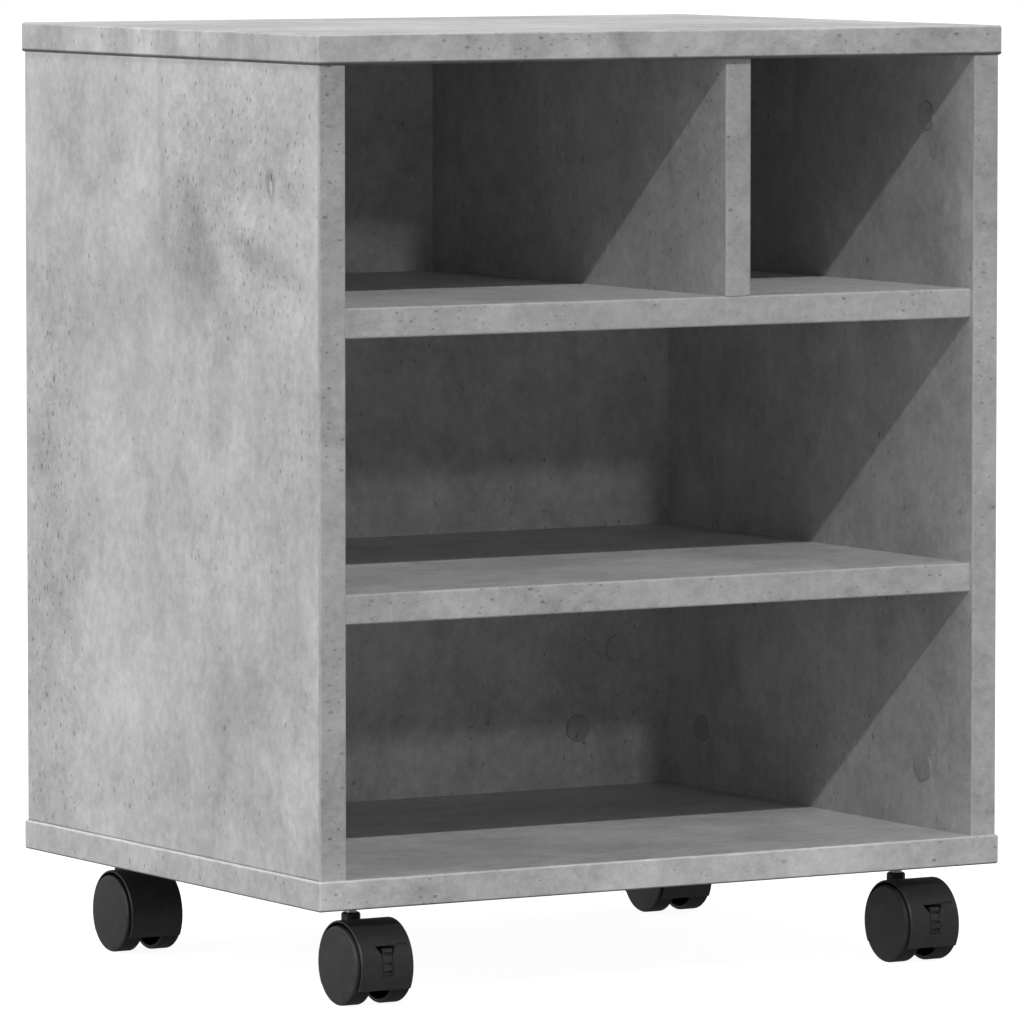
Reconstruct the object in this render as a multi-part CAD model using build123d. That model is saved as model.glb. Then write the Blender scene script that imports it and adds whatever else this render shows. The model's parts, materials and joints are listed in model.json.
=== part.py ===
from build123d import *
import os
from math import asin, cos, degrees, pi, radians, sin, sqrt

# Mobile printer stand, in millimetres. +Z is up and the open front faces -Y. The origin is on
# the floor, under the middle of the stand.

# Boards
stand_width = 400.0         # top and bottom panels
stand_depth = 314.0
stand_height = 480.0        # floor to the upper face of the top panel
board = 15.0                # thickness of every board
overhang = 1.2              # top and bottom panels stand past the sides by this, all round
lower_bay_height = 125.5
middle_bay_height = 125.5
left_bay_width = 220.4      # between the left side panel and the divider
shelf_setback = 2.8         # shelves and divider lie behind the sides' front edges
band = 1.3                  # edge band thickness
arris = 1.2                 # rounding along the bands' long edges

# Cam fittings, dowels and screws that hold the boards together
cam_bore = 15.0
cam_bore_depth = 12.5
cam_slack = 0.1             # radial, for the cam and its cover in the bore
cam_setback = 32.0          # joint plane to the middle of the cam
cam_from_front = 45.0       # side panel's front edge to the front row of cams
cam_from_back = 49.5
cover_seat = 0.9            # part of the cover that sits in the bore
cover_proud = 0.5
cover_edge = 0.3
bolt_thread = 5.0
bolt_thread_length = 10.5
bolt_hole = 8.0
bolt_shoulder, bolt_shoulder_length = 7.2, 3.0
bolt_neck = 3.5
bolt_head = 6.0
bolt_head_length = 3.2
slot_slack = 0.3            # around the bolt's neck and head inside the cam
cross_length, cross_width, cross_depth = 9.0, 1.2, 1.6
dowel = 8.0
dowel_in_edge, dowel_in_face = 20.0, 10.0
dowel_chamfer = 0.8
dowel_hole_spare = 0.5
dowel_step = 32.0           # from a cam to the dowel beside it
back_bottom_cam_from_side = 57.0
back_side_cam_from_end = 74.0
screw_shank = 4.0
screw_head = 8.0
screw_head_height = 2.4
screw_grip = 25.0           # length inside the divider

# Casters: twin wheels under a hood that trails from a vertical stem
caster_height = 50.0
caster_from_side = 37.5     # side panel's outer face to the stem
caster_from_end = 36.0      # side panel's front or back edge to the stem
trail = 15.0                # stem to axle
wheel_diameter = 40.0
wheel_width = 10.6
wheel_gap = 12.4            # between the two wheels
wheel_face_round = 1.5
wheel_inner_round = 0.7
wheel_dome = 0.5
wheel_centre_flat = 4.0     # radius of the flat in the middle of the domed face
wheel_rim_flat = 0.2        # narrow flat between the rounded edge and the domed face
rim_thickness = 2.0
disc_thickness = 1.8
hub_diameter = 11.0
spoke_width, spoke_count = 1.6, 6
spoke_recess = 3.2          # spokes start this far inside the wheel's open face
well_clearance = 1.2        # wheel to hood
hood_wall = 1.1
wheel_proud = 2.0           # wheel's face past the hood's rim
hood_edge = 0.8
hood_end_angle = 30.0       # hood stops this far below the axle, front and back
web_width = 10.8
pocket_width = 7.2
pocket_from_axle = 9.0
boss_clearance = 0.3        # axle boss to the wheel's hub
neck_wall = 1.8             # around the stem's pin
neck_rise = 5.9             # bottom panel to the top of the neck
neck_chamfer = 0.8
stem_pin = 6.0
stem_pin_end = 21.0         # bottom panel to the lower end of the pin
stem_thread = 8.0
stem_thread_length = 12.0
stem_hex, stem_hex_height, stem_hex_chamfer = 11.0, 3.5, 0.5
stem_tip_chamfer = 0.4
stem_tip_gap = 0.1          # below the pin, in the hood
running = 0.05              # radial clearance of pins that turn
ring_height, ring_width = 0.9, 1.1
ring_groove_depth = 0.55    # in the pin
ring_in_groove = 0.05       # radial clearance at the bottom of that groove
ring_from_end = 4.0
ring_opening = 50.0         # degrees
ring_in_hood = 0.15         # clearance around the ring in the hood's groove
axle = 5.0
axle_end_gap = 0.2
axle_groove, axle_groove_depth, axle_groove_from_end = 1.0, 0.3, 1.2
bead_slack = 0.1
insert_diameter, insert_length = 12.0, 13.0
insert_flange, insert_flange_height = 15.0, 1.0

# Brake pedal in the hood of each front caster
pedal_width = 5.4
pedal_slack = 0.35          # pedal to the sides of its window
pedal_top_angle = 26.5
pedal_drop = 3.5            # axle down to the lower end of the pedal's face
pedal_top_gap, pedal_bottom_gap = 1.2, 0.35
pedal_swing_gap = 0.3       # top of the pedal to the window's edge as it swings in
pedal_thickness = 2.0
pedal_lip, pedal_lip_height = 0.9, 2.4
window_flare = 2.8          # extra width on each side at the window's top corners
window_flare_angle = 17.0
crease_reach, crease_rise = 12.0, 1.0       # groove from the window's top, off to the right
crease_height, crease_depth = 1.3, 0.6
grip_width, grip_height, grip_depth = 4.6, 1.4, 1.0
grip_angles = (17.0, 5.5, -4.5)
pedal_pin = 2.0
pedal_pin_inset = 5.7       # hood's outside to the pin, straight ahead of the axle
pedal_pin_down = 2.0        # below the axle
pedal_barrel = 4.4
pedal_rib = 2.4             # joins the barrel to the pedal's shell
lug_diameter = 2.4
lug_angle = 30.0            # below straight ahead of the axle
lug_gap = 1.4               # to the inside of the wheels' rims, brake off
lug_reach = 2.4             # into each wheel's hollow
lug_under_web = 1.5         # web to the cross bar, brake off
pedal_arm = 5.0

# Places that follow from the sizes above
side_out = stand_width / 2 - overhang
side_in = side_out - board
front = -stand_depth / 2 + overhang
back = -front
back_in = back - board
floor_top = caster_height + board
roof = stand_height - board
middle_shelf_z = floor_top + lower_bay_height
upper_shelf_z = middle_shelf_z + board + middle_bay_height
divider_x = -side_in + left_bay_width
shelf_front = front + shelf_setback
cam_rows = (front + cam_from_front, back - cam_from_back)
wheel_radius = wheel_diameter / 2
wheel_in = wheel_gap / 2
wheel_out = wheel_in + wheel_width
well_radius = wheel_radius + well_clearance
hood_radius = well_radius + hood_wall
hood_half = wheel_out - wheel_proud
web_half = web_width / 2
pocket_half = pocket_width / 2
axle_half = wheel_out - disc_thickness - axle_end_gap
pedal_bottom_angle = -degrees(asin(pedal_drop / hood_radius))
neck_diameter = stem_pin + 2 * neck_wall
ring_inner = stem_pin - 2 * (ring_groove_depth - ring_in_groove)
ring_outer = ring_inner + 2 * ring_width

cuts = {}                                # board name to the holes drilled in it
fixings = {"cam_locks": [], "cam_bolts": [], "cam_covers": [], "wood_dowels": []}


def block(low, high):
    """Box between two corners."""
    middle = [(a + b) / 2 for a, b in zip(low, high)]
    return Pos(*middle) * Box(*[b - a for a, b in zip(low, high)])


def rod_z(diameter, z0, z1, x=0.0, y=0.0):
    return Pos(x, y, (z0 + z1) / 2) * Cylinder(diameter / 2, z1 - z0)


def rod_x(diameter, x0, x1, y=0.0, z=0.0):
    return Pos((x0 + x1) / 2, y, z) * Rot(0, 90, 0) * Cylinder(diameter / 2, x1 - x0)


def drill(name, hole):
    cuts.setdefault(name, []).append(hole)


def banded_board(low, high, sides):
    """A board's core and its edge bands. sides names the banded edges: front, back, left, right."""
    whole = block(low, high)
    x0, y0, z0 = low
    x1, y1, z1 = high
    long_edges = []
    for edge in whole.edges():
        c = edge.center()
        on_side = {"front": abs(c.Y - y0) < 1e-6, "back": abs(c.Y - y1) < 1e-6,
                   "left": abs(c.X - x0) < 1e-6, "right": abs(c.X - x1) < 1e-6}
        touched = [side for side in on_side if on_side[side]]
        if any(side in sides for side in touched) and not edge_is_joint(c, low, high, sides):
            long_edges.append(edge)
    if long_edges:
        whole = fillet(long_edges, arris)
    inner_low = [x0 + band * ("left" in sides), y0 + band * ("front" in sides), z0]
    inner_high = [x1 - band * ("right" in sides), y1 - band * ("back" in sides), z1]
    core = whole & block(inner_low, inner_high)
    strips = []
    if "front" in sides:
        strips.append(whole & block(low, [x1, y0 + band, z1]))
    if "back" in sides:
        strips.append(whole & block([x0, y1 - band, z0], high))
    if "left" in sides:
        strips.append(whole & block([x0, inner_low[1], z0], [x0 + band, inner_high[1], z1]))
    if "right" in sides:
        strips.append(whole & block([x1 - band, inner_low[1], z0], [x1, inner_high[1], z1]))
    return core, strips


def edge_is_joint(centre, low, high, sides):
    """The short ends of a band, where the board butts against another board, stay square."""
    if len(sides) == 4:
        return False
    upright = high[2] - low[2] > board + 1e-6
    if upright:
        return abs(centre.Z - low[2]) < 1e-6 or abs(centre.Z - high[2]) < 1e-6
    return abs(centre.X - low[0]) < 1e-6 or abs(centre.X - high[0]) < 1e-6


# One cam fitting about its own axes: Z runs from the cam's board into the other board and
# crosses the joint plane at 0, and X points out of the face that the cam is let into.

def cam_lock():
    top = board / 2 - cover_seat
    bottom = board / 2 - cam_bore_depth
    body = rod_x(cam_bore - 2 * cam_slack, bottom, top, 0, -cam_setback)
    neck = bolt_neck / 2 + slot_slack
    head = bolt_head / 2 + slot_slack
    half = bolt_head_length / 2 + slot_slack
    body -= block((-neck, -neck, -cam_setback), (neck, neck, -cam_setback + cam_bore))
    body -= block((-head, -head, -cam_setback - half), (head, head, -cam_setback + half))
    a, b = cross_length / 2, cross_width / 2
    for dy, dz in ((a, b), (b, a)):
        body -= block((top - cross_depth, -dy, -cam_setback - dz), (top, dy, -cam_setback + dz))
    return body


def cam_bolt():
    neck_top = -cam_setback + cam_bore / 2 + 1
    shoulder_end = -bolt_shoulder_length
    head_top = -cam_setback + bolt_head_length / 2
    return (rod_z(bolt_thread, 0, bolt_thread_length) + rod_z(bolt_shoulder, shoulder_end, 0)
            + rod_z(bolt_thread, neck_top, shoulder_end) + rod_z(bolt_neck, head_top, neck_top)
            + rod_z(bolt_head, head_top - bolt_head_length, head_top))


def cam_cover():
    low, high = board / 2 - cover_seat, board / 2 + cover_proud
    disc = rod_x(cam_bore - 2 * cam_slack, low, high, 0, -cam_setback)
    return fillet(disc.edges().sort_by(Axis.X)[-1], cover_edge)


def dowel_pin():
    pin = rod_z(dowel, -dowel_in_edge, dowel_in_face)
    return chamfer(pin.edges().filter_by(GeomType.CIRCLE), dowel_chamfer)


lock_shape, bolt_shape, cover_shape, dowel_shape = cam_lock(), cam_bolt(), cam_cover(), dowel_pin()


def cam_joint(owner, other, origin, out, face):
    """Cam in owner's face, bolt across the joint plane into other."""
    place = Plane(origin=origin, x_dir=face, z_dir=out).location
    drill(owner, place * rod_x(cam_bore, board / 2 - cam_bore_depth, board / 2 + 1, 0, -cam_setback))
    drill(owner, place * rod_z(bolt_hole, -cam_setback, 0))
    drill(other, place * rod_z(bolt_thread, 0, bolt_thread_length))
    fixings["cam_locks"].append(place * lock_shape)
    fixings["cam_bolts"].append(place * bolt_shape)
    fixings["cam_covers"].append(place * cover_shape)


def dowel_joint(owner, other, origin, out, face):
    place = Plane(origin=origin, x_dir=face, z_dir=out).location
    drill(owner, place * rod_z(dowel, -dowel_in_edge - dowel_hole_spare, 0))
    drill(other, place * rod_z(dowel, 0, dowel_in_face + dowel_hole_spare))
    fixings["wood_dowels"].append(place * dowel_shape)


# Boards: lower corner, upper corner and the edges that carry a band
half_w, half_d = stand_width / 2, stand_depth / 2
everywhere = ("front", "back", "left", "right")
boards = {
    "bottom_panel": ((-half_w, -half_d, caster_height), (half_w, half_d, floor_top), everywhere),
    "top_panel": ((-half_w, -half_d, roof), (half_w, half_d, stand_height), everywhere),
    "left_side_panel": ((-side_out, front, floor_top), (-side_in, back, roof), ("front", "back")),
    "right_side_panel": ((side_in, front, floor_top), (side_out, back, roof), ("front", "back")),
    "back_panel": ((-side_in, back_in, floor_top), (side_in, back, roof), ()),
    "middle_shelf": ((-side_in, shelf_front, middle_shelf_z),
                     (side_in, back_in, middle_shelf_z + board), ("front",)),
    "upper_shelf": ((-side_in, shelf_front, upper_shelf_z),
                    (side_in, back_in, upper_shelf_z + board), ("front",)),
    "divider": ((divider_x, shelf_front, upper_shelf_z + board),
                (divider_x + board, back_in, roof), ("front",)),
}

ends = (("bottom_panel", floor_top, -1), ("top_panel", roof, 1))
for side, name in ((-1, "left_side_panel"), (1, "right_side_panel")):
    middle = side * (side_in + board / 2)
    for other, z, up in ends:
        for row, inward in zip(cam_rows, (1, -1)):
            cam_joint(name, other, (middle, row, z), (0, 0, up), (-side, 0, 0))
            dowel_y = row + inward * dowel_step
            dowel_joint(name, other, (middle, dowel_y, z), (0, 0, up), (-side, 0, 0))
    for shelf, z in (("middle_shelf", middle_shelf_z), ("upper_shelf", upper_shelf_z)):
        for row in cam_rows:
            at = (side * side_in, row, z + board / 2)
            cam_joint(shelf, name, at, (side, 0, 0), (0, 0, -1))
        at = (side * side_in, sum(cam_rows) / 2, z + board / 2)
        dowel_joint(shelf, name, at, (side, 0, 0), (0, 0, -1))
    back_middle = back_in + board / 2
    for z in (floor_top + back_side_cam_from_end, roof - back_side_cam_from_end):
        cam_joint("back_panel", name, (side * side_in, back_middle, z), (side, 0, 0), (0, -1, 0))
    for other, z, up in ends:
        x = side * (side_in - back_bottom_cam_from_side)
        cam_joint("back_panel", other, (x, back_middle, z), (0, 0, up), (0, -1, 0))
        x -= side * dowel_step
        dowel_joint("back_panel", other, (x, back_middle, z), (0, 0, up), (0, -1, 0))
for row in cam_rows:
    at = (divider_x + board / 2, row, roof)
    cam_joint("divider", "top_panel", at, (0, 0, 1), (1, 0, 0))

# Countersunk screws up through the upper shelf into the divider
screws = []
for row in cam_rows:
    at = Pos(divider_x + board / 2, row, upper_shelf_z)
    head = Pos(0, 0, screw_head_height / 2) * Cone(screw_head / 2, screw_shank / 2,
                                                   screw_head_height)
    screw = head + rod_z(screw_shank, screw_head_height, board + screw_grip)
    screws.append(at * screw)
    drill("upper_shelf", at * (head + rod_z(screw_shank, screw_head_height, board)))
    drill("divider", at * rod_z(screw_shank, board, board + screw_grip))

# Threaded inserts for the caster stems, let into the underside of the bottom panel
stem_places = {}
for end, y in (("front", front + caster_from_end), ("rear", back - caster_from_end)):
    for hand, x in (("left", -side_out + caster_from_side), ("right", side_out - caster_from_side)):
        stem_places[end + "_" + hand] = (x, y)
inserts = []
for x, y in stem_places.values():
    z = caster_height
    hole = rod_z(insert_diameter, z, z + insert_length, x, y)
    hole += rod_z(insert_flange, z, z + insert_flange_height, x, y)
    drill("bottom_panel", hole)
    inserts.append(hole - rod_z(stem_thread, z, z + insert_length, x, y))

parts = {}
for name, (low, high, sides) in boards.items():
    core, strips = banded_board(low, high, sides)
    parts[name] = [core - cuts[name]]
    if strips:
        parts[name + "_edge_bands" if len(strips) > 1 else name + "_edge_band"] = strips
parts.update(fixings)
parts["divider_screws"] = screws
parts["caster_inserts"] = inserts


# One caster about its own axes: the stem is on Z, the floor at 0, and the axle lies forward of
# the stem, along X.

axle_y, axle_z = -trail, wheel_radius
neck_top = caster_height - neck_rise
pin_end = caster_height - stem_pin_end
ring_z = pin_end + ring_from_end
pedal_pin_y = axle_y - hood_radius + pedal_pin_inset
pedal_pin_z = axle_z - pedal_pin_down
lug_from_axle = wheel_radius - rim_thickness - lug_gap - lug_diameter / 2
lug_y = axle_y - lug_from_axle * cos(radians(lug_angle))
lug_z = axle_z - lug_from_axle * sin(radians(lug_angle))
web_bottom = lug_z + lug_diameter / 2 + lug_under_web


def hood_angle(length):
    """Degrees that a length takes up around the hood."""
    return length / hood_radius * 180 / pi


window_top_angle = pedal_top_angle + hood_angle(pedal_top_gap)


def sector(radius, x_half, from_angle, to_angle):
    """Wedge of a disc about the axle. Angles are in degrees, measured up from straight ahead."""
    points = [(0, 0)] + [(-2 * radius * cos(radians(a)), 2 * radius * sin(radians(a)))
                         for a in (from_angle, to_angle)]
    face = make_face(Polyline(*points, close=True))
    wedge = extrude(Plane.YZ * face, x_half, both=True)
    return Pos(0, axle_y, axle_z) * wedge


def about_axle(radius, x_half):
    return rod_x(2 * radius, -x_half, x_half, axle_y, axle_z)


def stem():
    z = caster_height
    hexagon = extrude(RegularPolygon(stem_hex / 2, 6, major_radius=False), stem_hex_height)
    body = Pos(0, 0, z - stem_hex_height) * chamfer(hexagon.edges().group_by(Axis.Z)[0],
                                                  stem_hex_chamfer)
    body += rod_z(stem_thread, z, z + stem_thread_length)
    body += rod_z(stem_pin, pin_end, z - stem_hex_height)
    groove = rod_z(stem_pin + 1, ring_z - running, ring_z + ring_height + running)
    groove -= rod_z(stem_pin - 2 * ring_groove_depth, ring_z - 1, ring_z + ring_height + 1)
    return chamfer((body - groove).edges().sort_by(Axis.Z)[0], stem_tip_chamfer)


def stem_ring():
    ring = rod_z(ring_outer, ring_z, ring_z + ring_height)
    ring -= rod_z(ring_inner, ring_z, ring_z + ring_height)
    a = radians(ring_opening / 2)
    far = ring_outer
    opening = make_face(Polyline((0, 0), (far * cos(a), far * sin(a)),
                                 (far * cos(a), -far * sin(a)), close=True))
    return ring - Pos(0, 0, ring_z) * extrude(opening, ring_height)


def window():
    """Opening in the hood for the pedal, flared to both top corners, and the crease beside it."""
    half = pedal_width / 2 + pedal_slack
    low_angle = pedal_bottom_angle - hood_angle(pedal_bottom_gap)
    opening = sector(hood_radius, half, low_angle, window_top_angle)
    z_low = axle_z + hood_radius * sin(radians(window_flare_angle))
    z_high = axle_z + hood_radius * sin(radians(window_top_angle))
    y0, y1 = axle_y - hood_radius - 1, axle_y - pocket_from_axle
    outline = make_face(Polyline((-half, z_low), (half, z_low), (half + window_flare, z_high),
                                 (-half - window_flare, z_high), close=True))
    flare = Pos(0, y1, 0) * extrude(Plane.XZ * outline, y1 - y0)
    corner = sector(hood_radius, half + window_flare, 0, window_top_angle)
    line = make_face(Polyline((0, z_high - crease_height), (0, z_high),
                              (crease_reach, z_high + crease_rise),
                              (crease_reach, z_high + crease_rise - crease_height), close=True))
    crease = Pos(0, y1, 0) * extrude(Plane.XZ * line, y1 - y0)
    crease -= about_axle(hood_radius - crease_depth, crease_reach)
    return opening + (flare & corner) + crease


def hood(braked):
    """Shell over both wheels, with the web between them, the neck and the axle boss."""
    body = about_axle(hood_radius, hood_half)
    body = fillet(body.edges().filter_by(GeomType.CIRCLE), hood_edge)
    for x0, x1 in ((-hood_half - 1, -web_half), (web_half, hood_half + 1)):
        body -= rod_x(2 * well_radius, x0, x1, axle_y, axle_z)
    far = 2 * hood_radius
    under = axle_z - hood_radius * sin(radians(hood_end_angle))
    body -= block((-far, axle_y - far, -far), (far, axle_y + far, under))
    inside = about_axle(well_radius, web_half)
    body -= inside & block((-far, axle_y - far, -far), (far, axle_y + far, web_bottom))
    pocket = about_axle(well_radius, pocket_half)
    body -= pocket & block((-far, axle_y - far, -far), (far, axle_y - pocket_from_axle, far))
    body += rod_x(hub_diameter, -wheel_in + boss_clearance, wheel_in - boss_clearance,
                  axle_y, axle_z)
    neck = rod_z(neck_diameter, axle_z + hub_diameter / 2, neck_top)
    body += chamfer(neck.edges().sort_by(Axis.Z)[-1], neck_chamfer)
    body -= rod_z(stem_pin + 2 * running, pin_end - stem_tip_gap, neck_top + 1)
    body -= rod_z(ring_outer + 2 * ring_in_hood, ring_z - ring_in_hood,
                  ring_z + ring_height + ring_in_hood)
    body -= rod_x(axle, -far, far, axle_y, axle_z)
    if braked:
        body -= window()
        body -= rod_x(pedal_pin, -web_half, web_half, pedal_pin_y, pedal_pin_z)
    return body


def wheel(hand):
    """hand is -1 for the left wheel and 1 for the right one; the open face looks at the web."""
    edge_x = wheel_out - wheel_dome
    flat = wheel_radius - wheel_face_round - wheel_rim_flat
    ball = (flat ** 2 + wheel_dome ** 2) / (2 * wheel_dome)
    on_dome = [(wheel_out - ball + sqrt(ball ** 2 - r ** 2), r)
               for r in (flat, flat / 2, wheel_centre_flat)]
    side = [Line((wheel_in, 0), (wheel_in, wheel_radius)),
            Line((wheel_in, wheel_radius), (edge_x, wheel_radius)),
            Line((edge_x, wheel_radius), on_dome[0]),
            ThreePointArc(*on_dome),
            Line(on_dome[-1], (on_dome[-1][0], 0)),
            Line((on_dome[-1][0], 0), (wheel_in, 0))]
    face = make_face(side)
    at_rim = face.vertices().filter_by(lambda v: abs(v.Y - wheel_radius) < 1e-6).sort_by(Axis.X)
    face = fillet(at_rim[-1], wheel_face_round)
    at_rim = face.vertices().filter_by(lambda v: abs(v.Y - wheel_radius) < 1e-6).sort_by(Axis.X)
    face = fillet(at_rim[0], wheel_inner_round)
    body = revolve(face, Axis.X)
    disc_in = wheel_out - disc_thickness
    hollow = rod_x(2 * (wheel_radius - rim_thickness), wheel_in, disc_in)
    hollow -= rod_x(hub_diameter, wheel_in, disc_in)
    for i in range(spoke_count):
        spoke = block((wheel_in + spoke_recess, 0, -spoke_width / 2),
                      (disc_in, wheel_radius, spoke_width / 2))
        hollow -= Rot(360 / spoke_count * i, 0, 0) * spoke
    body -= hollow
    bore = rod_x(axle + 2 * running, wheel_in, disc_in)
    bead_start = axle_half - axle_groove_from_end - axle_groove + bead_slack
    bead = rod_x(axle + 1, bead_start, bead_start + axle_groove - 2 * bead_slack)
    bead -= rod_x(axle - 2 * axle_groove_depth + 2 * bead_slack, wheel_in, disc_in)
    body -= bore - bead
    if hand < 0:
        body = mirror(body, Plane.YZ)
    return Pos(0, axle_y, axle_z) * body


def axle_pin():
    body = rod_x(axle, -axle_half, axle_half)
    for hand in (-1, 1):
        near = axle_half - axle_groove_from_end
        x0, x1 = sorted((hand * near, hand * (near - axle_groove)))
        body -= rod_x(axle + 1, x0, x1) - rod_x(axle - 2 * axle_groove_depth, x0, x1)
    return Pos(0, axle_y, axle_z) * body


def swing_radius():
    """From the pedal's pin to just short of the window's upper edge, which the pedal passes."""
    edge_y = axle_y - well_radius * cos(radians(window_top_angle))
    edge_z = axle_z + well_radius * sin(radians(window_top_angle))
    return sqrt((edge_y - pedal_pin_y) ** 2 + (edge_z - pedal_pin_z) ** 2) - pedal_swing_gap


def pedal():
    """Rocker in the hood's window, with a cross bar whose ends press out on both rims."""
    half = pedal_width / 2
    body = about_axle(hood_radius, half) - about_axle(hood_radius - pedal_thickness, half)
    body &= sector(hood_radius, half, pedal_bottom_angle, pedal_top_angle)
    lip_angle = hood_angle(pedal_lip_height)
    lip = about_axle(hood_radius + pedal_lip, half) - about_axle(hood_radius - 1, half)
    body += lip & sector(hood_radius, half, pedal_top_angle - lip_angle, pedal_top_angle)
    for angle in grip_angles:
        spread = hood_angle(grip_height) / 2
        grip = sector(hood_radius, grip_width / 2, angle - spread, angle + spread)
        body -= grip - about_axle(hood_radius - grip_depth, grip_width / 2)
    body &= rod_x(2 * swing_radius(), -half, half, pedal_pin_y, pedal_pin_z)
    body += rod_x(pedal_barrel, -half, half, pedal_pin_y, pedal_pin_z)
    mid_wall = axle_y - (hood_radius - pedal_thickness / 2) * cos(radians(pedal_bottom_angle))
    body += block((-half, mid_wall, pedal_pin_z - pedal_rib / 2),
                  (half, pedal_pin_y, pedal_pin_z + pedal_rib / 2))
    arm_dy, arm_dz = lug_y - pedal_pin_y, lug_z - pedal_pin_z
    normal = Vector(0, -arm_dz, arm_dy).normalized() * (lug_diameter / 2)
    corners = [(pedal_pin_y + normal.Y, pedal_pin_z + normal.Z), (lug_y + normal.Y, lug_z + normal.Z),
               (lug_y - normal.Y, lug_z - normal.Z), (pedal_pin_y - normal.Y, pedal_pin_z - normal.Z)]
    arm = make_face(Polyline(*corners, close=True))
    body += extrude(Plane.YZ * arm, pedal_arm / 2, both=True)
    reach = wheel_in + lug_reach
    body += rod_x(lug_diameter, -reach, reach, lug_y, lug_z)
    return body - rod_x(pedal_pin + 2 * running, -half, half, pedal_pin_y, pedal_pin_z)


stem_shape, ring_shape, axle_shape, pedal_shape = stem(), stem_ring(), axle_pin(), pedal()
pin_shape = rod_x(pedal_pin, -web_half, web_half, pedal_pin_y, pedal_pin_z)
hood_shapes = {"front": hood(True), "rear": hood(False)}
left_wheel, right_wheel = wheel(-1), wheel(1)
for place, (x, y) in stem_places.items():
    at = Pos(x, y, 0)
    end = place.split("_")[0]
    parts[place + "_stem"] = [at * stem_shape]
    parts[place + "_stem_ring"] = [at * ring_shape]
    parts[place + "_hood"] = [at * hood_shapes[end]]
    parts[place + "_axle"] = [at * axle_shape]
    parts[place + "_wheel_left"] = [at * left_wheel]
    parts[place + "_wheel_right"] = [at * right_wheel]
    if end == "front":
        parts[place + "_brake_pedal"] = [at * pedal_shape]
        parts[place + "_brake_pin"] = [at * pin_shape]

os.makedirs("parts", exist_ok=True)
for name, shapes in parts.items():
    solids = [solid for shape in shapes for solid in shape.solids()]
    result = solids[0] if len(solids) == 1 else Compound(children=solids)
    result.label = name
    export_step(result, "parts/" + name + ".step")
    print(name, len(solids))
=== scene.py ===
import json
from math import cos, radians, sin

import bpy
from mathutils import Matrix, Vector


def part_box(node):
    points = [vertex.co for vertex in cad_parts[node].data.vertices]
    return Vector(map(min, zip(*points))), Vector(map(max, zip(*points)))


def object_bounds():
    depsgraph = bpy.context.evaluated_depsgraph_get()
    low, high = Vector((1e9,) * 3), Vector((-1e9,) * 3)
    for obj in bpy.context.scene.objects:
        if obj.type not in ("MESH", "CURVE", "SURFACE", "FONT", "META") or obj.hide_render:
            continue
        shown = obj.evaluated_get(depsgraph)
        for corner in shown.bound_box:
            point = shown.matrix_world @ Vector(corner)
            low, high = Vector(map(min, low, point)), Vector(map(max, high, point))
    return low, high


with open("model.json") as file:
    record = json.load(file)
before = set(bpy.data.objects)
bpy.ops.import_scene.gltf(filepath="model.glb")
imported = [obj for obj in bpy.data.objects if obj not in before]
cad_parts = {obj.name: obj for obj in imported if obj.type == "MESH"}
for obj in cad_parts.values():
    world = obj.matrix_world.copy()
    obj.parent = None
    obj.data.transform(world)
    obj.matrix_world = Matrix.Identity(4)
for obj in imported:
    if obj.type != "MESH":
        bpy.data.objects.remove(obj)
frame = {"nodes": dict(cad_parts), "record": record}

# Looks for the mobile printer stand. Metres, origin on the floor under the middle of the stand,
# +Z up, open front facing -Y. The stand's own pieces all come from the CAD frame.

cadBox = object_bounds()
nodes = frame["nodes"]
scene = bpy.context.scene


# small helpers for node trees

def feed(tree, socket, value):
    if isinstance(value, bpy.types.NodeSocket):
        tree.links.new(value, socket)
    else:
        socket.default_value = value


def addNode(tree, kind, inputs=None, **settings):
    node = tree.nodes.new(kind)
    for key, value in settings.items():
        setattr(node, key, value)
    for key, value in (inputs or {}).items():
        feed(tree, node.inputs[key], value)
    return node


def calc(tree, operation, a, b=0.0, c=0.0):
    return addNode(tree, "ShaderNodeMath", {0: a, 1: b, 2: c}, operation=operation).outputs[0]


def remap(tree, value, low, high, toLow=0.0, toHigh=1.0, smooth=True):
    kind = "SMOOTHSTEP" if smooth else "LINEAR"
    inputs = {"Value": value, "From Min": low, "From Max": high, "To Min": toLow, "To Max": toHigh}
    return addNode(tree, "ShaderNodeMapRange", inputs, interpolation_type=kind).outputs["Result"]


def scaled(tree, vector, scale, shift=(0, 0, 0)):
    node = addNode(tree, "ShaderNodeMapping", {"Vector": vector, "Scale": scale, "Location": shift})
    return node.outputs["Vector"]


def noise(tree, vector, scale, detail=3.0, rough=0.5, distortion=0.0):
    inputs = {"Vector": vector, "Scale": scale, "Detail": detail, "Roughness": rough,
              "Distortion": distortion}
    return addNode(tree, "ShaderNodeTexNoise", inputs).outputs["Fac"]


def newGroup(name, inputs, outputs):
    group = bpy.data.node_groups.new(name, "ShaderNodeTree")
    for label, kind, value in inputs:
        socket = group.interface.new_socket(label, in_out="INPUT", socket_type="NodeSocket" + kind)
        if value is not None:
            socket.default_value = value
    for label, kind in outputs:
        group.interface.new_socket(label, in_out="OUTPUT", socket_type="NodeSocket" + kind)
    return group, group.nodes.new("NodeGroupInput").outputs, group.nodes.new("NodeGroupOutput").inputs


def useGroup(tree, group, inputs):
    node = addNode(tree, "ShaderNodeGroup", node_tree=group)
    for key, value in inputs.items():
        feed(tree, node.inputs[key], value)
    return node.outputs


def newMaterial(name, fixed):
    material = bpy.data.materials.new(name)
    material.use_nodes = True
    shader = material.node_tree.nodes["Principled BSDF"]
    for key, value in fixed.items():
        shader.inputs[key].default_value = value
    return material, material.node_tree, shader


def dress(names, material):
    for name in names:
        node = nodes[name]
        for place in node.material_slots:
            place.material = material


# Concrete decor: printed paper under melamine, the same print on boards, bands and cam covers

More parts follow.
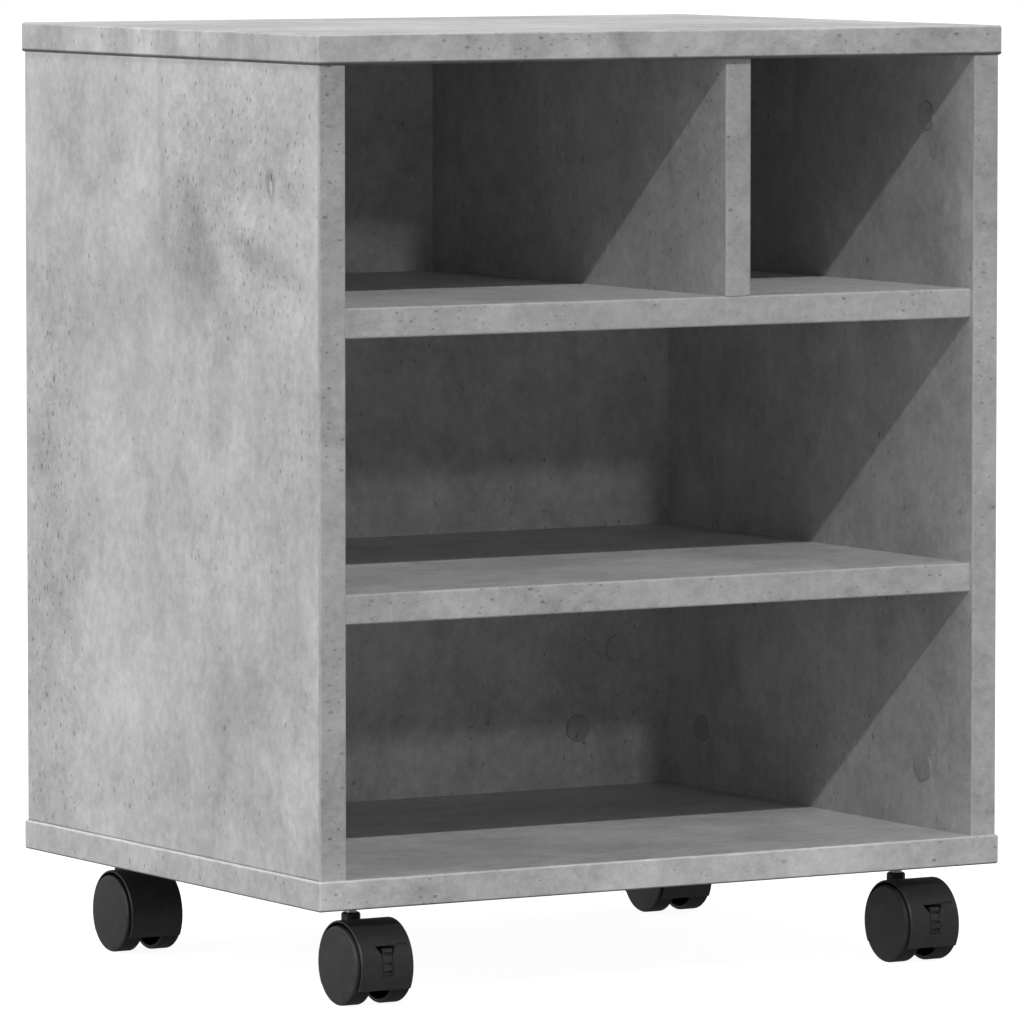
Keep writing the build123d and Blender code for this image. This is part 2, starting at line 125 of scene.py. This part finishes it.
decor = {
    "cloudSize": 0.095, "cloudStretch": 0.75,
    "blotchSize": 0.028, "blotchStretch": 0.8,
    "streakSize": 0.0085, "streakStretch": 0.16,
    "mottleSize": 0.0052, "mottleStretch": 0.85,
    "grainSize": 0.0013,
    "poreCell": 0.0042, "poreStretch": 0.6,
    "holeCell": 0.015,
    "clusterSize": 0.070,
    "fleckLift": 0.18, "poreShade": -0.46,
}


# Its Vector is the place on a face, in metres: X across the grain and Y along it
def concreteDecorGroup(s):
    inputs = [("Vector", "Vector", None), ("Tone", "Float", 0.38), ("Cloud", "Float", 0.16),
              ("Blotch", "Float", 0.13), ("Streak", "Float", 0.035), ("Mottle", "Float", 0.12),
              ("Pores", "Float", 0.46), ("Extra Pores", "Float", 0.0), ("Roughness", "Float", 0.46)]
    outputs = [("Color", "Color"), ("Roughness", "Float"), ("Height", "Float")]
    tree, given, result = newGroup("concreteDecor", inputs, outputs)
    at = given["Vector"]

    def layer(size, stretch, shift, detail, rough, distortion=0.0):
        place = scaled(tree, at, (1, stretch, 1), shift)
        return remap(tree, noise(tree, place, 1 / size, detail, rough, distortion), 0.3, 0.7, -1, 1, False)

    cloud = layer(s["cloudSize"], s["cloudStretch"], (0.1, 0.6, 0.3), 3, 0.5, 0.4)
    blotch = layer(s["blotchSize"], s["blotchStretch"], (0.4, 0.2, 0.8), 4, 0.6, 0.7)
    streak = layer(s["streakSize"], s["streakStretch"], (0.3, 0.9, 0.5), 3, 0.55, 0.3)
    mottle = layer(s["mottleSize"], s["mottleStretch"], (0.7, 0.4, 0.1), 3, 0.65)
    grain = layer(s["grainSize"], 0.7, (0.2, 0.8, 0.6), 2, 0.6)
    # streaks show only in parts of a sheet
    streaky = remap(tree, noise(tree, at, 12, 2, 0.5), 0.42, 0.62, 0.35, 1.5)
    streak = calc(tree, "MULTIPLY", streak, streaky)
    mottle = calc(tree, "MULTIPLY_ADD", grain, 0.45, mottle)

    # pores gather where this slow noise is high
    gather = noise(tree, scaled(tree, at, (1, 0.6, 1), (0.7, 0.2, 0.9)), 1 / s["clusterSize"], 2, 0.5)
    gather = remap(tree, gather, 0.47, 0.68, 0.06, 1.0)
    often = calc(tree, "MULTIPLY_ADD", gather, given["Pores"], given["Extra Pores"])

    def pits(cell, stretch, least, most, shift, share=1.0):
        place = scaled(tree, at, (1, stretch, 1), shift)
        cells = addNode(tree, "ShaderNodeTexVoronoi", {"Vector": place, "Scale": 1 / cell},
                        voronoi_dimensions="2D")
        draw = addNode(tree, "ShaderNodeSeparateColor", {"Color": cells.outputs["Color"]}).outputs
        present = calc(tree, "LESS_THAN", draw["Red"], calc(tree, "MULTIPLY", often, share))
        spread = calc(tree, "POWER", draw["Green"], 2.0)
        radius = calc(tree, "MULTIPLY_ADD", spread, most - least, least)
        ragged = noise(tree, place, 2.8 / cell, 2, 0.6)
        gap = calc(tree, "ADD", cells.outputs["Distance"], calc(tree, "MULTIPLY_ADD", ragged, 0.30, -0.15))
        depth = remap(tree, gap, radius, calc(tree, "MULTIPLY", radius, 0.3))
        depth = calc(tree, "MULTIPLY", depth, present)
        return calc(tree, "MULTIPLY", depth, calc(tree, "MULTIPLY_ADD", draw["Blue"], 0.7, 0.3))

    small = pits(s["poreCell"], s["poreStretch"], 0.10, 0.30, (0.05, 0.37, 0.61))
    large = pits(s["holeCell"], 0.6, 0.035, 0.085, (0.83, 0.13, 0.29), 0.8)
    flecks = pits(s["poreCell"] * 1.35, 0.8, 0.10, 0.24, (0.4, 0.9, 0.15), 0.7)
    pore = calc(tree, "MAXIMUM", small, large)

    shade = calc(tree, "MULTIPLY", cloud, given["Cloud"])
    shade = calc(tree, "MULTIPLY_ADD", blotch, given["Blotch"], shade)
    shade = calc(tree, "MULTIPLY_ADD", streak, given["Streak"], shade)
    shade = calc(tree, "MULTIPLY_ADD", mottle, given["Mottle"], shade)
    shade = calc(tree, "MULTIPLY_ADD", flecks, s["fleckLift"], shade)
    shade = calc(tree, "MULTIPLY_ADD", pore, s["poreShade"], shade)
    tone = calc(tree, "MULTIPLY", calc(tree, "ADD", shade, 1.0), given["Tone"])
    color = addNode(tree, "ShaderNodeCombineColor", {"Red": tone, "Green": tone, "Blue": tone})
    tree.links.new(color.outputs["Color"], result["Color"])
    gloss = calc(tree, "MULTIPLY_ADD", mottle, 0.03, given["Roughness"])
    gloss = calc(tree, "MULTIPLY_ADD", pore, 0.12, gloss)
    tree.links.new(gloss, result["Roughness"])
    height = calc(tree, "MULTIPLY_ADD", pore, -1.0, calc(tree, "MULTIPLY", mottle, 0.12))
    tree.links.new(height, result["Height"])
    return tree


# Soft mark on a face: a slanted ellipse, cut off crisply on its right if Sharp is 1
def trowelAndLightMarkGroup():
    inputs = [("Vector", "Vector", None), ("Centre", "Vector", (0, 0, 0)),
              ("Half Size", "Vector", (0.02, 0.05, 1)), ("Slant", "Float", 0.0),
              ("Sharp", "Float", 0.0), ("Ragged", "Float", 0.8)]
    tree, given, result = newGroup("trowelAndLightMark", inputs, [("Mask", "Float")])
    local = addNode(tree, "ShaderNodeVectorRotate", {"Vector": given["Vector"], "Angle": given["Slant"],
                                                     "Center": given["Centre"]},
                    rotation_type="Z_AXIS").outputs[0]
    local = addNode(tree, "ShaderNodeVectorMath", {0: local, 1: given["Centre"]},
                    operation="SUBTRACT").outputs[0]
    local = addNode(tree, "ShaderNodeVectorMath", {0: local, 1: given["Half Size"]},
                    operation="DIVIDE").outputs[0]
    wobble = calc(tree, "SUBTRACT", noise(tree, given["Vector"], 70, 4, 0.6), 0.5)
    radius = addNode(tree, "ShaderNodeVectorMath", {0: local}, operation="LENGTH").outputs["Value"]
    soft = remap(tree, calc(tree, "MULTIPLY_ADD", wobble, given["Ragged"], radius), 1.1, 0.25)
    side = addNode(tree, "ShaderNodeSeparateXYZ", {0: local}).outputs["X"]
    cut = remap(tree, calc(tree, "MULTIPLY_ADD", wobble, 0.35, side), 0.24, 0.08)
    cut = calc(tree, "MULTIPLY_ADD", calc(tree, "SUBTRACT", cut, 1.0), given["Sharp"], 1.0)
    tree.links.new(calc(tree, "MULTIPLY", soft, cut), result["Mask"])
    return tree


concreteDecor = concreteDecorGroup(decor)
trowelAndLightMark = trowelAndLightMarkGroup()

# Marks: place as shares of the face from its lower front or left corner, half size in metres,
# slant in degrees, and how much paler or darker they are. "pores" adds pores there instead.
leftSideMarks = [
    {"at": (0.39, 0.775), "half": (-0.060, 0.070), "slant": 40, "sharp": 1.0, "change": -0.18},
    {"at": (0.375, 0.742), "half": (0.018, 0.030), "slant": 12, "change": -0.09},
    {"at": (0.52, 0.90), "half": (0.006, 0.060), "slant": 4, "change": -0.12},
    {"at": (0.58, 0.70), "half": (0.060, 0.050), "slant": 40, "change": -0.09},
    {"at": (0.155, 0.752), "half": (0.010, 0.052), "slant": 74, "change": -0.17},
    {"at": (0.24, 0.765), "half": (0.009, 0.022), "slant": 66, "change": -0.08},
    {"at": (0.17, 0.81), "half": (0.045, 0.013), "change": 0.11},
    {"at": (0.07, 0.845), "half": (0.022, 0.012), "change": -0.11},
    {"at": (0.27, 0.845), "half": (0.022, 0.012), "change": -0.08},
    {"at": (0.155, 0.85), "half": (0.0050, 0.0095), "slant": 14, "change": -0.48, "ragged": 0.5},
    {"at": (0.153, 0.848), "half": (0.0022, 0.0055), "slant": 10, "change": 0.62, "ragged": 0.5},
    {"at": (0.168, 0.90), "half": (0.0009, 0.024), "change": -0.18, "ragged": 0.3},
    {"at": (0.44, 0.665), "half": (0.045, 0.026), "change": 0.10},
    {"at": (0.10, 0.685), "half": (0.040, 0.020), "change": 0.06},
    {"at": (0.72, 0.67), "half": (0.040, 0.040), "change": -0.07},
    {"at": (0.90, 0.93), "half": (0.045, 0.030), "change": -0.06},
    {"at": (0.10, 0.45), "half": (0.030, 0.055), "change": -0.05},
    {"at": (0.25, 0.13), "half": (0.045, 0.060), "change": -0.06},
    {"at": (0.08, 0.08), "half": (0.030, 0.034), "change": 0.14},
    {"at": (0.07, 0.27), "half": (0.020, 0.040), "change": -0.07},
    {"at": (0.90, 0.27), "half": (0.034, 0.180), "change": -0.05},
    {"at": (0.28, 0.87), "half": (0.100, 0.090), "pores": 1.0},
    {"at": (0.18, 0.70), "half": (0.060, 0.030), "pores": 0.7},
    {"at": (0.91, 0.30), "half": (0.045, 0.230), "pores": 0.9},
]
# painted light: paler patches on the back panel, the right side panel and the divider, deep in the bays
backLightPatches = [{"at": (0.45, 0.13), "half": (0.26, 0.10), "change": 0.15, "ragged": 0.3}]
rightSideLightPatches = [{"at": (0.80, 0.20), "half": (0.09, 0.12), "change": 0.14, "ragged": 0.3}]
dividerLightPatches = [{"at": (0.78, 0.55), "half": (0.13, 0.16), "change": 0.22, "ragged": 0.3}]
topBandMarks = [
    {"at": (0.57, 0.5), "half": (0.014, 0.030), "change": 0.26, "ragged": 0.5},
    {"at": (0.48, 0.5), "half": (0.010, 0.030), "change": -0.22, "ragged": 0.5},
    {"at": (0.90, 0.5), "half": (0.026, 0.030), "change": -0.20, "ragged": 0.5},
    {"at": (0.38, 0.5), "half": (0.020, 0.030), "change": 0.08, "ragged": 0.5},
    {"at": (0.28, 0.5), "half": (0.010, 0.030), "change": -0.20, "ragged": 0.5},
    {"at": (0.74, 0.5), "half": (0.026, 0.030), "change": 0.05, "ragged": 0.5},
]

# The tones under 1 on the edge bands and on the divider are painted shade, drawing the front edges and the
# divider darker than the print they share with the boards.
boards = {
    "left_side_panel": {"grain": "Z", "shift": (0.0, 0.0, 0.0), "marks": leftSideMarks,
                        "shade": (0.0010, 0.45)},
    "right_side_panel": {"grain": "Z", "shift": (0.3, 1.7, 0.6), "tone": 0.97, "marks": rightSideLightPatches},
    "back_panel": {"grain": "Z", "shift": (2.1, 0.4, 1.3), "marks": backLightPatches},
    "divider": {"grain": "Z", "shift": (1.35, 2.2, 0.2), "tone": 0.86, "marks": dividerLightPatches},
    "top_panel": {"grain": "X", "shift": (0.8, 1.1, 3.1), "tone": 1.13},
    "bottom_panel": {"grain": "X", "shift": (1.9, 0.3, 2.2)},
    "middle_shelf": {"grain": "X", "shift": (2.6, 1.4, 0.5)},
    "upper_shelf": {"grain": "X", "shift": (0.5, 3.3, 1.6)},
    "top_panel_edge_bands": {"grain": "X", "shift": (3.2, 0.8, 1.4), "tone": 0.87,
                             "shade": (0.0021, 0.80), "cloud": 0.20, "blotch": 0.22,
                             "upperArrisHighlight": 0.14, "marks": topBandMarks},
    "bottom_panel_edge_bands": {"grain": "X", "shift": (0.9, 2.8, 0.1), "tone": 0.99,
                                "upperArrisHighlight": 0.25, "lowerArrisShade": -0.75},
    "left_side_panel_edge_bands": {"grain": "X", "shift": (1.6, 1.9, 2.4), "tone": 0.76, "pores": 0.28},
    "right_side_panel_edge_bands": {"grain": "X", "shift": (2.2, 0.6, 0.7), "tone": 0.80, "pores": 0.14},
    "middle_shelf_edge_band": {"grain": "X", "shift": (0.2, 2.4, 3.5), "tone": 0.81, "upperArrisHighlight": 0.10},
    "upper_shelf_edge_band": {"grain": "X", "shift": (3.4, 1.2, 0.9), "tone": 0.82, "upperArrisHighlight": 0.10},
    "divider_edge_band": {"grain": "X", "shift": (1.1, 3.6, 1.8), "tone": 0.71},
    "cam_covers": {"grain": "Z", "shift": (0.4, 0.9, 2.9), "tone": 0.77, "arris": -0.25},
}
decorFinish = {"tone": 0.50, "roughness": 0.48, "cloud": 0.15, "blotch": 0.13,
               "arrisHighlight": 0.02, "pitDepth": 0.00012, "bandPores": 0.12}


# Each face's own plane: X across the grain and Y along it
def printPlane(tree, position, normal, grain):
    p = addNode(tree, "ShaderNodeSeparateXYZ", {0: position}).outputs
    n = addNode(tree, "ShaderNodeVectorMath", {0: normal}, operation="ABSOLUTE").outputs[0]
    n = addNode(tree, "ShaderNodeSeparateXYZ", {0: n}).outputs

    def plane(across, along):
        return addNode(tree, "ShaderNodeCombineXYZ", {"X": p[across], "Y": p[along]}).outputs[0]

    forward = plane("X", "Z") if grain == "Z" else plane("Z", "X")
    picked = forward
    for axis, face in (("X", plane("Y", "Z")), ("Z", plane("Y", "X"))):
        chosen = calc(tree, "GREATER_THAN", n[axis], 0.7)
        picked = addNode(tree, "ShaderNodeMix", {"Factor": chosen, 4: picked, 5: face},
                         data_type="VECTOR").outputs[1]
    flatness = calc(tree, "MAXIMUM", n["X"], calc(tree, "MAXIMUM", n["Y"], n["Z"]))
    return picked, flatness


# The marks on a board's face, added up as shade and as extra pores
def faceMarks(tree, plane, name, marks):
    low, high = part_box(name)
    corner, reach = (low.y, low.z), (high.y - low.y, high.z - low.z)
    if name == "back_panel":
        corner, reach = (low.x, low.z), (high.x - low.x, high.z - low.z)
    sums = {"change": None, "pores": None}
    for mark in marks:
        centre = [c + share * length for c, share, length in zip(corner, mark["at"], reach)] + [0]
        mask = useGroup(tree, trowelAndLightMark, {"Vector": plane, "Centre": centre,
                                           "Half Size": (*mark["half"], 1.0),
                                           "Slant": radians(mark.get("slant", 0)),
                                           "Sharp": mark.get("sharp", 0.0),
                                           "Ragged": mark.get("ragged", 0.8)})["Mask"]
        for kind in sums:
            if kind in mark:
                sums[kind] = calc(tree, "MULTIPLY_ADD", mask, mark[kind], sums[kind] or 0.0)
    return sums["change"], sums["pores"]


def boardMaterial(name, s):
    material, tree, shader = newMaterial(name + "Decor", {"IOR": 1.45})
    where = addNode(tree, "ShaderNodeTexCoord").outputs
    plane, flatness = printPlane(tree, where["Object"], where["Normal"], s["grain"])
    change, morePores = faceMarks(tree, plane, name, s.get("marks", []))
    bandPores = decorFinish["bandPores"] * ("edge_band" in name)
    made = useGroup(tree, concreteDecor, {"Vector": scaled(tree, plane, (1, 1, 1), s["shift"]),
                                          "Tone": decorFinish["tone"] * s.get("tone", 1.0),
                                          "Cloud": s.get("cloud", decorFinish["cloud"]),
                                          "Blotch": s.get("blotch", decorFinish["blotch"]),
                                          "Extra Pores": morePores or s.get("pores", bandPores),
                                          "Roughness": decorFinish["roughness"]})
    # painted highlight on the rounded long edges of the bands, which are drawn paler, and painted shade on
    # a cover's rounded rim, which is drawn darker
    gain = remap(tree, flatness, 0.97, 0.80, 1.0, 1.0 + s.get("arris", decorFinish["arrisHighlight"]))
    if change:
        gain = calc(tree, "ADD", gain, change)
    up = addNode(tree, "ShaderNodeSeparateXYZ", {0: where["Normal"]}).outputs["Z"]
    # painted highlight on edges rounded upward and painted shade on edges rounded downward
    for arris, steep in (("upperArrisHighlight", 0.6), ("lowerArrisShade", -0.6)):
        if arris in s:
            gain = calc(tree, "ADD", gain, remap(tree, up, steep / 4, steep, 0.0, s[arris]))
    if "shade" in s:
        # painted shade along the lower joint: the board's last millimetre or two is drawn darker
        reach, depth = s["shade"]
        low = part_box(name)[0].z
        height = addNode(tree, "ShaderNodeSeparateXYZ", {0: where["Object"]}).outputs["Z"]
        dark = remap(tree, height, low + reach, low + reach * 0.5, 1.0, 1.0 - depth)
        gain = calc(tree, "MULTIPLY", gain, dark)
    color = addNode(tree, "ShaderNodeVectorMath", {0: made["Color"], "Scale": gain}, operation="SCALE")
    tree.links.new(color.outputs[0], shader.inputs["Base Color"])
    tree.links.new(made["Roughness"], shader.inputs["Roughness"])
    bump = addNode(tree, "ShaderNodeBump", {"Height": made["Height"], "Strength": 0.6,
                                            "Distance": decorFinish["pitDepth"]})
    tree.links.new(bump.outputs["Normal"], shader.inputs["Normal"])
    return material


for name, settings in boards.items():
    dress([name], boardMaterial(name, settings))
print("boards dressed:", len(boards))


# Moulded and metal finishes share fine grain and scuffs

def fineGrainGroup():
    inputs = [("Vector", "Vector", None), ("Size", "Float", 0.0006), ("Scuffs", "Float", 0.3)]
    outputs = [("Grain", "Float"), ("Scuff", "Float"), ("Blotch", "Float")]
    tree, given, result = newGroup("fineGrain", inputs, outputs)
    scale = calc(tree, "DIVIDE", 1.0, given["Size"])
    tree.links.new(noise(tree, given["Vector"], scale, 2, 0.6), result["Grain"])
    blotch = noise(tree, given["Vector"], 140, 3, 0.55)
    tree.links.new(blotch, result["Blotch"])
    streaky = noise(tree, scaled(tree, given["Vector"], (0.25, 1, 1.6)), 900, 2, 0.6, 0.6)
    scuff = remap(tree, calc(tree, "MULTIPLY", streaky, blotch), 0.30, 0.42)
    tree.links.new(calc(tree, "MULTIPLY", scuff, given["Scuffs"]), result["Scuff"])
    return tree


fineGrain = fineGrainGroup()

finishes = {
    "blackNylon": {"slot": "black_nylon", "color": (0.020, 0.020, 0.021), "rough": 0.42,
                   "grain": 0.0005, "scuffs": 0.35, "bump": 0.00004, "metal": 0.0, "pale": 0.05},
    "wheelNylon": {"slot": "wheel_nylon", "color": (0.022, 0.022, 0.023), "rough": 0.36,
                   "grain": 0.0007, "scuffs": 0.5, "bump": 0.00003, "metal": 0.0, "pale": 0.06,
                   "tread": {"shade": 0.3, "rough": 0.35}},
    "platedSteel": {"slot": "bright_steel", "color": (0.52, 0.52, 0.54), "rough": 0.30,
                    "grain": 0.0004, "scuffs": 0.4, "bump": 0.00002, "metal": 1.0, "pale": 0.62},
    "castZinc": {"slot": "zinc", "color": (0.46, 0.46, 0.48), "rough": 0.48,
                 "grain": 0.0006, "scuffs": 0.4, "bump": 0.00005, "metal": 1.0, "pale": 0.55},
    "beechWood": {"slot": "dowel_wood", "color": (0.55, 0.36, 0.20), "rough": 0.6,
                  "grain": 0.0009, "scuffs": 0.5, "bump": 0.00006, "metal": 0.0, "pale": 0.62},
}


def finishMaterial(name, s):
    material, tree, shader = newMaterial(name, {"IOR": 1.5, "Metallic": s["metal"]})
    where = addNode(tree, "ShaderNodeTexCoord").outputs
    made = useGroup(tree, fineGrain, {"Vector": where["Object"], "Size": s["grain"],
                                       "Scuffs": s["scuffs"]})
    tint = remap(tree, made["Blotch"], 0.3, 0.7, 0.85, 1.15, False)
    base = addNode(tree, "ShaderNodeVectorMath", {0: s["color"], "Scale": tint}, operation="SCALE")
    pale = (s["pale"],) * 3
    color = addNode(tree, "ShaderNodeMix", {"Factor": made["Scuff"], 4: base.outputs[0], 5: pale},
                    data_type="VECTOR").outputs[1]
    rough = calc(tree, "MULTIPLY_ADD", made["Grain"], 0.12, s["rough"] - 0.06)
    rough = calc(tree, "MULTIPLY_ADD", made["Scuff"], 0.12, rough)
    if "tread" in s:
        # a wheel's tread is darker and duller than its face, which looks along the axle
        normal = addNode(tree, "ShaderNodeVectorMath", {0: where["Normal"]}, operation="ABSOLUTE")
        sideways = addNode(tree, "ShaderNodeSeparateXYZ", {0: normal.outputs[0]}).outputs["X"]
        tread = remap(tree, sideways, 0.85, 0.45)
        shade = calc(tree, "MULTIPLY_ADD", tread, s["tread"]["shade"] - 1.0, 1.0)
        color = addNode(tree, "ShaderNodeVectorMath", {0: color, "Scale": shade},
                        operation="SCALE").outputs[0]
        rough = calc(tree, "MULTIPLY_ADD", tread, s["tread"]["rough"], rough)
    tree.links.new(color, shader.inputs["Base Color"])
    tree.links.new(rough, shader.inputs["Roughness"])
    bump = addNode(tree, "ShaderNodeBump", {"Height": made["Grain"], "Strength": 0.5,
                                            "Distance": s["bump"]})
    tree.links.new(bump.outputs["Normal"], shader.inputs["Normal"])
    return material


record = frame["record"]
nodeSlot = {part["node"]: part["material_slot"] for part in record["subparts"]}
for name, settings in finishes.items():
    members = [node for node, slot in nodeSlot.items() if slot == settings["slot"]]
    dress(members, finishMaterial(name, settings))
    print(name, "on", len(members), "nodes")


# Floor

# to reflections and to the camera the floor is a plain grey with its own glow
floorLook = {"size": 40.0, "grey": 0.42, "roughness": 0.9,
             "reflected": {"grey": 0.07, "glow": 0.27}, "seen": {"grey": 0.30, "glow": 0.94}}


def makeFloor(s):
    half = s["size"] / 2
    mesh = bpy.data.meshes.new("floor")
    mesh.from_pydata([(-half, -half, 0), (half, -half, 0), (half, half, 0), (-half, half, 0)], [],
                     [(0, 1, 2, 3)])
    floor = bpy.data.objects.new("floor", mesh)
    scene.collection.objects.link(floor)
    pale = (s["grey"], s["grey"], s["grey"], 1)
    material, tree, shader = newMaterial("paleFloor", {"Base Color": pale, "Roughness": s["roughness"]})
    rays = addNode(tree, "ShaderNodeLightPath").outputs
    result = shader.outputs[0]
    for ray, look in (("Is Glossy Ray", s["reflected"]), ("Is Camera Ray", s["seen"])):
        matte = addNode(tree, "ShaderNodeBsdfDiffuse", {"Color": (look["grey"],) * 3 + (1,)})
        light = addNode(tree, "ShaderNodeEmission", {"Color": (1, 1, 1, 1), "Strength": look["glow"]})
        bright = addNode(tree, "ShaderNodeAddShader", {0: matte.outputs[0], 1: light.outputs[0]})
        result = addNode(tree, "ShaderNodeMixShader",
                         {0: rays[ray], 1: result, 2: bright.outputs[0]}).outputs[0]
    tree.links.new(result, tree.nodes["Material Output"].inputs["Surface"])
    mesh.materials.append(material)


makeFloor(floorLook)


# Lights and world

suns = {
    "keySun": {"left": 15.0, "up": 39.05, "strength": 1.5, "spread": 1.2},
    "lowSun": {"left": -2.6, "up": 17.8, "strength": 0.22, "spread": 3.0},
}
softboxes = {
    "leftSoftbox": {"at": (-2.8, 0.2, 0.9), "size": 2.0, "power": 32.0},
    "topSoftbox": {"at": (0.0, 0.5, 3.0), "size": 2.0, "power": 36.0},
    "rightSoftbox": {"at": (3.0, 0.4, 0.9), "size": 1.8, "power": 18.0},
    "backSoftbox": {"at": (-1.7, 2.7, 1.0), "size": 1.6, "power": 14.0},
}
worldLight = {"lighting": 0.235, "seen": 1.0}


def aim(thing, target):
    thing.rotation_euler = (target - thing.location).to_track_quat("-Z", "Y").to_euler()


def addLight(name, kind, place, target):
    data = bpy.data.lights.new(name, kind)
    light = bpy.data.objects.new(name, data)
    scene.collection.objects.link(light)
    light.location = place
    aim(light, target)
    return data


middle = (cadBox[0] + cadBox[1]) / 2
for name, s in suns.items():
    left, up = radians(s["left"]), radians(s["up"])
    toSun = Vector((-cos(up) * sin(left), -cos(up) * cos(left), sin(up)))
    sun = addLight(name, "SUN", middle + 3 * toSun, middle)
    sun.energy = s["strength"]
    sun.angle = radians(s["spread"])
for name, s in softboxes.items():
    panel = addLight(name, "AREA", Vector(s["at"]), middle)
    panel.energy = s["power"]
    panel.size = s["size"]


def makeWorld():
    world = bpy.data.worlds.new("studio")
    world.use_nodes = True
    tree = world.node_tree
    tree.nodes.clear()
    seen = addNode(tree, "ShaderNodeLightPath").outputs["Is Camera Ray"]
    strength = remap(tree, seen, 0.0, 1.0, worldLight["lighting"], worldLight["seen"], False)
    sky = addNode(tree, "ShaderNodeBackground", {"Color": (1, 1, 1, 1), "Strength": strength})
    output = addNode(tree, "ShaderNodeOutputWorld")
    tree.links.new(sky.outputs[0], output.inputs["Surface"])
    scene.world = world


makeWorld()
scene.view_settings.view_transform = "Standard"
print("floor, lights and world placed")


# Camera: a long lens low at the front left, looking slightly down

view = {"aimY": -0.004, "aimZ": 0.2287, "turn": 30.573, "down": 4.532, "away": 4.4436, "lens": 303.02}


def makeCamera(s):
    data = bpy.data.cameras.new("camera")
    camera = bpy.data.objects.new("camera", data)
    scene.collection.objects.link(camera)
    target = Vector((0, s["aimY"], s["aimZ"]))
    turn, down = radians(s["turn"]), radians(s["down"])
    back = Vector((-sin(turn) * cos(down), -cos(turn) * cos(down), sin(down)))
    camera.location = target + s["away"] * back
    camera.rotation_euler = (radians(90) - down, 0, -turn)
    data.sensor_width = 36
    data.lens = s["lens"]
    data.clip_start = 0.1
    data.clip_end = 200
    scene.camera = camera


makeCamera(view)
print("camera placed")
